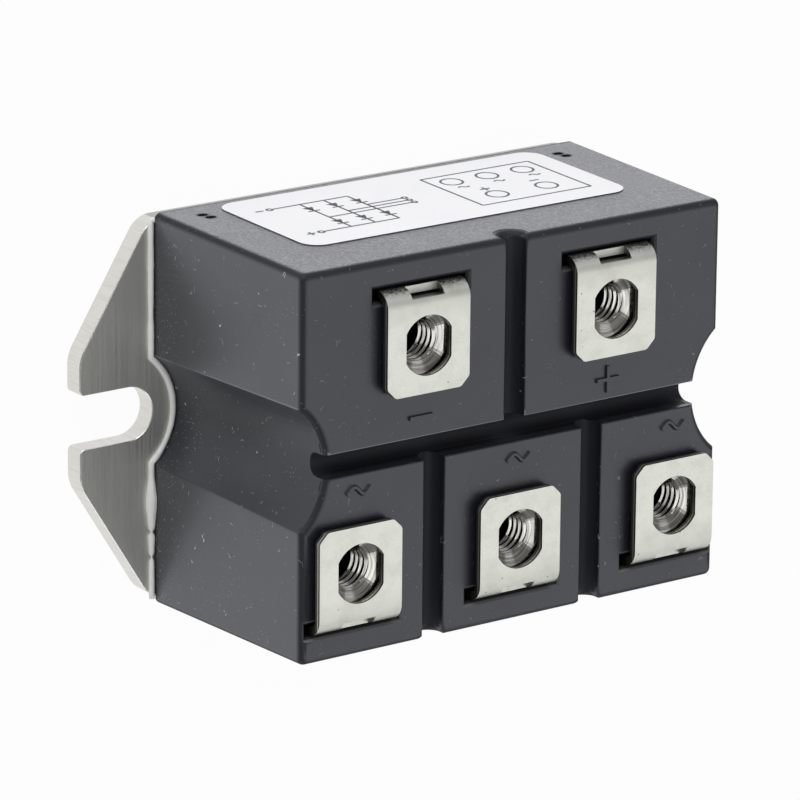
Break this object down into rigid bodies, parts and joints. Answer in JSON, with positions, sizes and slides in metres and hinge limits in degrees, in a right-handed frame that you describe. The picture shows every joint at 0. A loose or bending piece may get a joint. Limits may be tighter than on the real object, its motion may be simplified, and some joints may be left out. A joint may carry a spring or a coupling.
{
  "type": "bridge rectifier module",
  "caption": "Bridge rectifier module: dark moulded housing with creepage grooves on a plated base plate with open screw slots, and bent screw terminals over captive nuts.",
  "frame": {"origin": "centre of the base plate's underside", "axes": "+X along the base plate, +Y towards the label face and the DC row, +Z out of the terminal face"},
  "size_m": [0.072, 0.0425, 0.0304],
  "materials": {
    "plate": "nickel-plated copper, brushed",
    "seal": "pale silicone bead",
    "housing": "fine-grained moulded thermoplastic, dark grey",
    "label": "white satin film",
    "strip": "nickel-plated copper strip, smooth",
    "nut": "nickel-plated steel",
    "copper": "bare copper",
    "ceramic": "white alumina",
    "chip": "metallised silicon",
    "gel": "clear silicone gel"
  },
  "bodies": {
    "root": {"base_plate": "plate", "seal_bead": "seal", "housing": "housing", "label": "label", "minus_terminal": "strip", "plus_terminal": "strip", "ac_terminal_1": "strip", "ac_terminal_2": "strip", "ac_terminal_3": "strip", "minus_nut": "nut", "plus_nut": "nut", "ac_nut_1": "nut", "ac_nut_2": "nut", "ac_nut_3": "nut", "substrate_back_copper": "copper", "substrate_ceramic": "ceramic", "plus_track": "copper", "minus_track": "copper", "ac_track_1": "copper", "ac_track_2": "copper", "ac_track_3": "copper", "diode_chip_1": "chip", "diode_chip_2": "chip", "diode_chip_3": "chip", "diode_chip_4": "chip", "diode_chip_5": "chip", "diode_chip_6": "chip", "chip_clip_1": "copper", "chip_clip_2": "copper", "chip_clip_3": "copper", "chip_clip_4": "copper", "chip_clip_5": "copper", "chip_clip_6": "copper", "gel_fill": "gel"}
  },
  "joints": []
}
